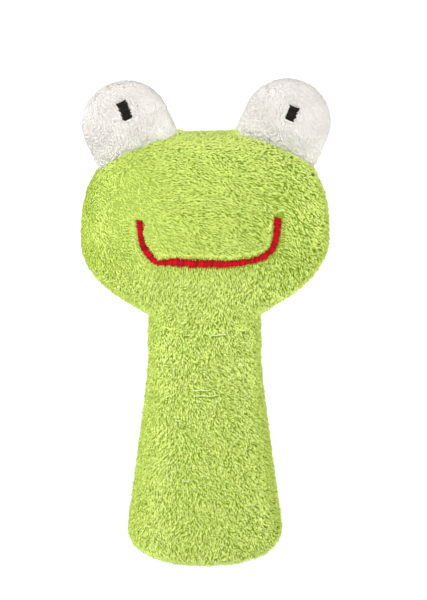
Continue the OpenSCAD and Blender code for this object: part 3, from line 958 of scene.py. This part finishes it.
def green_tufts(grid, seed, floor=None):
    """Terry pile of a green cover, stroked up against the eyes and pressed down beside the mouth."""
    rng = np.random.default_rng(seed)
    roots, out, gap, away, to_eye = planted(grid, rng)
    n = len(roots)
    x, _, z = roots.T
    on_head = smooth_step(*HEAD_NAP, z)
    stroke = np.interp(z, *NAP_BY_HEIGHT) + on_head * np.interp(x, *NAP_ACROSS_HEAD)
    stroke += 12 * waves(roots, *BROAD_SWIRLS) + (20 - 10 * on_head) * waves(roots, *NARROW_SWIRLS)
    nap = nap_of(out, np.radians(stroke + (22 - 6 * on_head) * rng.normal(size=n)))
    beside = np.clip(1 - (gap - 0.5 * mouth_stitch_w) / 2.0, 0, 1)
    by_mouth = beside[:, None]
    nap = unit(nap * (1 - 0.8 * by_mouth) + 1.6 * by_mouth * along_cloth(away, out))
    nap = nap + 0.2 * along_cloth(uphill(roots, *CLUMPS) * (1 - 0.8 * on_head[:, None]), out)
    up = np.array([0, 0, 1.0]) - out * out[:, 2:]
    by_eye = to_eye[:, None]
    nap = unit(nap * (1 - by_eye) + 1.5 * by_eye * up)
    length = np.clip(GREEN_LENGTH + 0.22 * rng.normal(size=n) + 0.12 * waves(roots, *CLUMPS), 0.8, 2.4)
    length *= (1 - 0.4 * beside) * (1 + 0.25 * to_eye) * (1 + 0.1 * on_head)
    lie = np.interp(x, *LIE_ACROSS)
    lie += 8 * on_head + smooth_step(*CROWN, z) * np.interp(x, *LIE_ACROSS_CROWN)
    lean = np.radians(np.clip(lie + (11 - 5 * on_head) * rng.normal(size=n), 8, 80))
    radius = np.clip(GREEN_R + 0.025 * rng.normal(size=n), 0.11, 0.24)
    tint = green_tint(roots, out, to_eye, on_head, rng)
    # Painted root shade, lifted across the sides of the head
    root_along = on_head * np.interp(x, *ROOT_SHADE_LIFT)
    return tuft_work(roots, out, nap, length, lean, radius, tint, floor, root_along=root_along)


def white_tufts(grid, side, seed):
    """Finer pile of an eye, kept off the head and the pupil. It stands up on the skirt and by the seam, and
    painted light brightens the skirt.
    """
    roots, out = scattered(grid, WHITE_DENSITY)
    x, y, s = eye_local(side, roots)
    along = np.abs(s - pupil_rise[side]) - pupil_length[side] / 2
    across = np.abs(x + side * pupil_in[side]) - pupil_w / 2
    keep = ~((along < PUPIL_CLEAR) & (across < PUPIL_CLEAR) & (y < 0)) & ~in_head(roots, -HEAD_CLEAR)
    roots, out, s = roots[keep], out[keep], s[keep]
    n = len(roots)
    by_seam = np.mean([in_head(roots, grow) for grow in SEAM_STEPS], 0)
    skirt = smooth_step(3, -9, s)
    rng = np.random.default_rng(seed)
    stroke = -8 + 60 * smooth_step(5, 12, s) + 14 * waves(roots, 14, 17) + 8 * waves(roots, 5, 18)
    nap = nap_of(out, np.radians(stroke + 11 * rng.normal(size=n)))
    length = np.clip(WHITE_LENGTH + 0.25 * rng.normal(size=n), 0.8, 2.8)
    lean = np.radians(np.clip(79.5 - 26 * np.maximum(by_seam, skirt) + 3 * rng.normal(size=n), 30, 86))
    radius = np.clip(WHITE_R + 0.025 * rng.normal(size=n), 0.12, 0.28)
    # Painted light on the skirt, which faces down towards the seam
    tint = 0.42 + 0.15 * rng.normal(size=n) + 0.05 * waves(roots, 9, 19) + 0.5 * skirt
    return tuft_work(roots, out, nap, length, lean, radius, tint, flat=0.45)


def bare_work(grid):
    """Light weft threads that lie bare at the top of the pile."""
    middle = grid[:, grid.shape[1] // 2]
    share = np.linspace(-1, 1, BARE_POINTS)
    paths, ups = [], []
    for number, (x, z, half) in enumerate(BARE_DASHES):
        out = BARE_OUT - np.interp(z, middle[:, 2], middle[:, 1])
        across = x + half * share
        front = -np.sqrt(out ** 2 - across ** 2)
        paths.append(np.stack([across, front, z + 0.12 * np.sin(5 * share + number)], 1))
        ups.append(np.stack([across, front, 0 * across], 1) / out)
    return tube_work(np.array(paths), np.array(ups), BARE_R, np.full(len(paths), 0.5), BARE_BAND)


COVERS = {
    "handle": (swollen(handle_grid(46, 80), seam_depth, cloth_depth, 0, pole=False), HANDLE_SEED, TABLE_GAP),
    "head": (gathered(swollen(head_grid(60, 128), seam_depth, cloth_depth, 0)), HEAD_SEED, None),
}
for side in (FRONT, BACK):
    for part, (cover, seed, floor) in COVERS.items():
        panel = half_of(cover, side)
        # Painted light on the ground between the tufts at the head's left
        gap_light = GAP_LIGHT_SHARE * at_left(panel).ravel() if part == "head" else 0.0
        works = [ground_work(panel, gap_light), green_tufts(panel, seed + (side == BACK), floor)]
        if part == "handle" and side == FRONT:
            works.append(bare_work(panel))
        finishes = [green_ground, green_pile, ground_thread][:len(works)]
        piece = make_piece(f"{part}_{side}_cloth", works, finishes)
        bend(piece)
        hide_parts(f"{part}_{side}_panel")

for side, word in ((LEFT, "left"), (RIGHT, "right")):
    cover = swollen(eye_grid(side, 8, 14, 48), eye_seam_depth, eye_cloth_depth, 4)
    for face in (FRONT, BACK):
        panel = half_of(cover, face)
        works = [ground_work(panel), white_tufts(panel, side, EYE_SEED + (face == BACK))]
        piece = make_piece(f"{word}_eye_{face}_cloth", works, [white_ground, white_pile])
        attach(piece, "head")
        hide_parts(f"{word}_eye_{face}_panel")


# Base: a disc of terry whose pile is pressed flat under the toy's weight

BASE_SEED = 51
BASE_RINGS = 10
BASE_COLS = 64
# Share of the disc's area that the innermost ring holds
BASE_MIDDLE = 0.0004
BASE_TUFT_LENGTH = 1.5
BASE_TUFT_R = 0.22
BASE_LEAN = math.radians(58)


def base_piece():
    r = (handle_r - base_corner_r) * np.sqrt(np.linspace(1, BASE_MIDDLE, BASE_RINGS + 1))[:, None]
    a = round_angles(BASE_COLS + 1) * (BASE_COLS + 1) / BASE_COLS
    height = np.ones(BASE_RINGS + 1)[:, None] * (1.05 + 0.05 * np.cos(3 * a))
    grid = np.stack([r * np.cos(a), -r * np.sin(a), height], 2)
    roots, _ = scattered(grid, GREEN_DENSITY)
    n = len(roots)
    out = np.tile([0, 0, -1.0], (n, 1))
    rng = np.random.default_rng(BASE_SEED)
    turn = np.radians(40 * waves(roots, 12, 52) + 25 * rng.normal(size=n))
    nap = np.stack([np.sin(turn), -np.cos(turn), np.zeros(n)], 1)
    tint = 0.45 + 0.13 * rng.normal(size=n)
    tufts = tuft_work(roots, out, nap, np.full(n, BASE_TUFT_LENGTH), np.full(n, BASE_LEAN),
                      np.full(n, BASE_TUFT_R), tint, TABLE_GAP)
    return make_piece("base_cloth", [ground_work(grid), tufts], [green_ground, green_pile])


base_cloth = base_piece()
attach(base_cloth, "handle")
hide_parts("base_panel")


# Embroidery

MOUTH_SEED = 61
PUPIL_SEED = 71
STITCH_PITCH = 0.3
PUPIL_PITCH = 0.48
STITCH_R = 0.26
MOUTH_STITCH_R = 0.19
# A stitch as shares of its half length, with its height at each, and the bed of yarn below the stitches
ACROSS = np.array([-1.0, -0.9, -0.5, 0.0, 0.5, 0.9, 1.0])
HEIGHT = np.array([-0.5, 0.3, 0.75, 0.86, 0.75, 0.3, -0.5])
BED_ACROSS = np.array([-0.8, -0.4, 0.4, 0.8])
BED_HEIGHT = np.array([-0.5, 0.62, 0.62, -0.5])
PUPIL_BED_ACROSS = np.array([-0.85, -0.4, 0.4, 0.85])
PUPIL_BED_HEIGHT = np.array([-0.5, 0.85, 0.85, -0.5])
# Half the distance over which the face's slope is measured
SLOPE_STEP = 0.2


def ragged(n, half, share, rng):
    """Points along n stitches whose ends differ by a share of their half length."""
    ends = half * (1 + share * rng.normal(size=(n, 2)))
    return np.where(ACROSS < 0, ends[:, :1], ends[:, 1:]) * ACROSS


def satin_run(knots, widths, rng):
    """Satin stitch: short stitches across a run of the mouth, side by side, over a low bed of yarn."""
    line = mouth_line(knots, STITCH_PITCH)
    spots = head_front(*line.T)
    slopes = [head_front(*(line + step).T) - head_front(*(line - step).T) for step in SLOPE_STEP * np.eye(2)]
    out = unit(np.cross(*slopes))
    run = unit(np.gradient(spots, axis=0))
    side = np.cross(out, run)
    n = len(line)
    width = np.interp(np.linspace(0, 1, n), np.linspace(0, 1, len(widths)), widths)[:, None]
    reach = ragged(n, width / 2, 0.2, rng)
    slant = 0.22 * reach + 0.06 * rng.normal(size=(n, 1)) * ACROSS
    lift = HEIGHT + 0.08 * rng.normal(size=(n, 1))
    paths = (spots[:, None] + reach[..., None] * side[:, None] + slant[..., None] * run[:, None]
             + lift[..., None] * out[:, None])
    bed_across = BED_ACROSS * width / 2
    bed = spots[:, None] + bed_across[..., None] * side[:, None] + BED_HEIGHT[:, None] * out[:, None]
    return paths, np.broadcast_to(out[:, None], paths.shape), bed


def mouth_piece():
    rng = np.random.default_rng(MOUTH_SEED)
    runs = [satin_run(knots, widths, rng) for knots, widths in MOUTH_RUNS]
    paths, ups = (np.concatenate([run[k] for run in runs]) for k in range(2))
    tint = np.clip(0.5 + 0.32 * rng.normal(size=len(paths)), 0.15, 1.0)
    stitches = tube_work(paths, ups, MOUTH_STITCH_R, tint, STITCH_BAND)
    beds = [ground_work(bed, 0.1) for _, _, bed in runs]
    return make_piece("mouth_stitches", [stitches, *beds], [red_satin] * 3)


mouth = mouth_piece()
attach(mouth, "head")
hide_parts("mouth_embroidery")


def pupil_piece(side, word):
    """Satin stitch across the pupil's width, with ragged long sides."""
    n = int(pupil_length[side] / PUPIL_PITCH) + 1
    rng = np.random.default_rng(PUPIL_SEED + side)
    s = np.linspace(-0.5, 0.5, n) * (pupil_length[side] - 2 * STITCH_R) + pupil_rise[side]
    reach = ragged(n, pupil_w / 2, 0.12, rng)
    lift = HEIGHT * 0.85 + 0.4 + 0.04 * rng.normal(size=(n, 1))
    middle = -side * pupil_in[side]
    up = s[:, None] + 0.03 * reach + 0.05 * rng.normal(size=(n, 1)) * ACROSS
    paths = eye_front(side, reach + middle, up, lift)
    tint = 0.5 + 0.16 * rng.normal(size=n)
    stitches = tube_work(paths, unit(paths - eye_axes(side)[0]), STITCH_R, tint, STITCH_BAND)
    bed_x = PUPIL_BED_ACROSS * pupil_w / 2 + middle
    bed = eye_front(side, bed_x[None], s[:, None], PUPIL_BED_HEIGHT[None])
    piece = make_piece(f"{word}_pupil_stitches", [stitches, ground_work(bed, 0.2)], [black_satin] * 2)
    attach(piece, "head")
    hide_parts(f"{word}_pupil")


pupil_piece(LEFT, "left")
pupil_piece(RIGHT, "right")


# Filling: the solids' forms, loosened into uneven batting

BATTING_VOXEL = 1.6


def batting(node, name, seed):
    piece = add_object(name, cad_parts[node].data.copy())
    loose = piece.modifiers.new("loose", "REMESH")
    loose.mode = "VOXEL"
    loose.voxel_size = BATTING_VOXEL * MM
    flat = piece.evaluated_get(bpy.context.evaluated_depsgraph_get())
    mesh = bpy.data.meshes.new_from_object(flat)
    piece.modifiers.clear()
    piece.data = mesh
    mesh.name = name
    co = vertex_rows(mesh, "co").astype(float) / MM
    sunk = np.clip(0.75 + 0.3 * waves(co, 6, seed) + 0.16 * waves(co, 2.6, seed + 1), 0.25, 1.6)
    co -= sunk[:, None] * vertex_rows(mesh, "normal")
    mesh.vertices.foreach_set("co", (co * MM).astype(np.float32).ravel())
    mesh.shade_smooth()
    paint(mesh, batting_fibre)
    mesh.update()
    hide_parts(node)
    return piece


bend(batting("handle_filling", "handle_batting", 81))
for side, seed in ((FRONT, 83), (BACK, 85)):
    bend(batting(f"head_{side}_filling", f"head_{side}_batting", seed))
for word, seed in (("left", 87), ("right", 89)):
    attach(batting(f"{word}_eye_filling", f"{word}_eye_batting", seed), "head")


# Side seams: the solids' threads

def bending_thread(node, name):
    piece = add_object(name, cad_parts[node].data.copy())
    paint(piece.data, green_thread)
    bend(piece)
    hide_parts(node)


bending_thread("handle_seam_threads", "handle_side_threads")
bending_thread("head_seam_thread", "head_side_thread")


# Finishes of the solids that show as they are

FINISHES = [
    (green_thread, ["base_seam_thread", "neck_seam_thread"]),
    (white_thread, ["left_eye_seam_thread", "right_eye_seam_thread"]),
    (capsule_plastic, ["rattle_cup", "rattle_lid"]),
    (pellet_plastic, [f"pellet_{number}" for number in range(1, 7)]),
]
for finish, nodes in FINISHES:
    for node in nodes:
        paint(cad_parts[node].data, finish)


# Studio, in metres

# Lamps: name, place, aim, width and power
LAMPS = [
    ("key", (-0.22, -1.05, 0.42), (0, 0, 0.08), 0.8, 11.6),
    ("fill", (0.0, -1.0, 0.06), (0, 0, 0.1), 0.6, 6.3),
    ("back", (0.0, 1.1, 0.5), (0, 0, 0.1), 0.8, 7.0),
    ("left", (-1.1, 0.25, 0.4), (0, 0, 0.1), 0.8, 3.2),
    ("right", (1.1, 0.25, 0.4), (0, 0, 0.1), 0.8, 2.8),
]
WORLD_LEVEL = 0.57
WHITE = (1, 1, 1)
FLOOR_GREY = (0.9, 0.9, 0.9)
# How bright the floor is where it is seen directly, and how much of it is that brightness
FLOOR_GLOW = 1.14
FLOOR_GLOW_SHARE = 0.8

# The photograph's view: from slightly left of the front, looking down a little, through a long lens
AZIMUTH = math.radians(-4)
ELEVATION = math.radians(15)
DISTANCE = 0.9
FRAME_HEIGHT = 0.1992
SENSOR = 36
AIM = (0, 0, 0.080)
AIM_RIGHT = 0.00299
AIM_UP = 0.00548


def turned(holder, way):
    holder.rotation_mode = "QUATERNION"
    holder.rotation_quaternion = Vector(way).to_track_quat("-Z", "Y")


def seen_directly(tree):
    """1 for what the camera, a mirror or glass shows, and 0 for light that falls on things."""
    path = add_node(tree, "LightPath", {})
    either = maths(tree, "MAXIMUM", path.outputs["Is Camera Ray"], path.outputs["Is Glossy Ray"])
    return maths(tree, "MAXIMUM", either, path.outputs["Is Transmission Ray"])


def show_mix(tree, share, lit, seen, output):
    """Show lit, and a share of seen in its place."""
    mix = add_node(tree, "MixShader", {"Fac": share, 1: lit.outputs[0], 2: seen.outputs[0]})
    feed(tree, tree.nodes[output], {"Surface": mix.outputs["Shader"]})


def paper(_):
    return {"Base Color": FLOOR_GREY, "Roughness": 0.9, "Specular IOR Level": 0.1}


def make_floor():
    half = 4.0
    corners = [(-half, -half, 0), (half, -half, 0), (half, half, 0), (-half, half, 0)]
    mesh = bpy.data.meshes.new("floor")
    mesh.from_pydata(corners, [], [(0, 1, 2, 3)])
    floor = add_object("floor", mesh)
    m = material("floor_paper", paper, [])
    tree = m.node_tree
    glow = add_node(tree, "Emission", {"Color": WHITE, "Strength": FLOOR_GLOW})
    share = maths(tree, "MULTIPLY", seen_directly(tree), FLOOR_GLOW_SHARE)
    show_mix(tree, share, tree.nodes["Principled BSDF"], glow, "Material Output")
    mesh.materials.append(m)


def make_world():
    world = bpy.data.worlds.new("studio")
    bpy.context.scene.world = world
    world.use_nodes = True
    tree = world.node_tree
    light = feed(tree, tree.nodes["Background"], {"Color": WHITE, "Strength": WORLD_LEVEL})
    white = add_node(tree, "Background", {"Color": WHITE, "Strength": 1.0})
    show_mix(tree, seen_directly(tree), light, white, "World Output")


def make_camera():
    level = math.cos(ELEVATION)
    back = Vector((math.sin(AZIMUTH) * level, -math.cos(AZIMUTH) * level, math.sin(ELEVATION)))
    right = Vector((math.cos(AZIMUTH), math.sin(AZIMUTH), 0))
    up = back.cross(right)
    lens = bpy.data.cameras.new("camera")
    lens.sensor_width = SENSOR
    lens.lens = SENSOR * DISTANCE / FRAME_HEIGHT
    lens.clip_start = 0.05
    lens.clip_end = 20
    camera = add_object("camera", lens)
    camera.location = Vector(AIM) + DISTANCE * back + AIM_RIGHT * right + AIM_UP * up
    turned(camera, -back)
    bpy.context.scene.camera = camera


make_floor()
make_world()
make_camera()
for name, place, aim, width, power in LAMPS:
    lamp = bpy.data.lights.new(name, "AREA")
    lamp.shape = "DISK"
    lamp.size = width
    lamp.energy = power
    holder = add_object(name, lamp)
    holder.location = place
    turned(holder, np.array(aim) - np.array(place))
bpy.context.scene.view_settings.view_transform = "Standard"

bpy.context.view_layer.update()
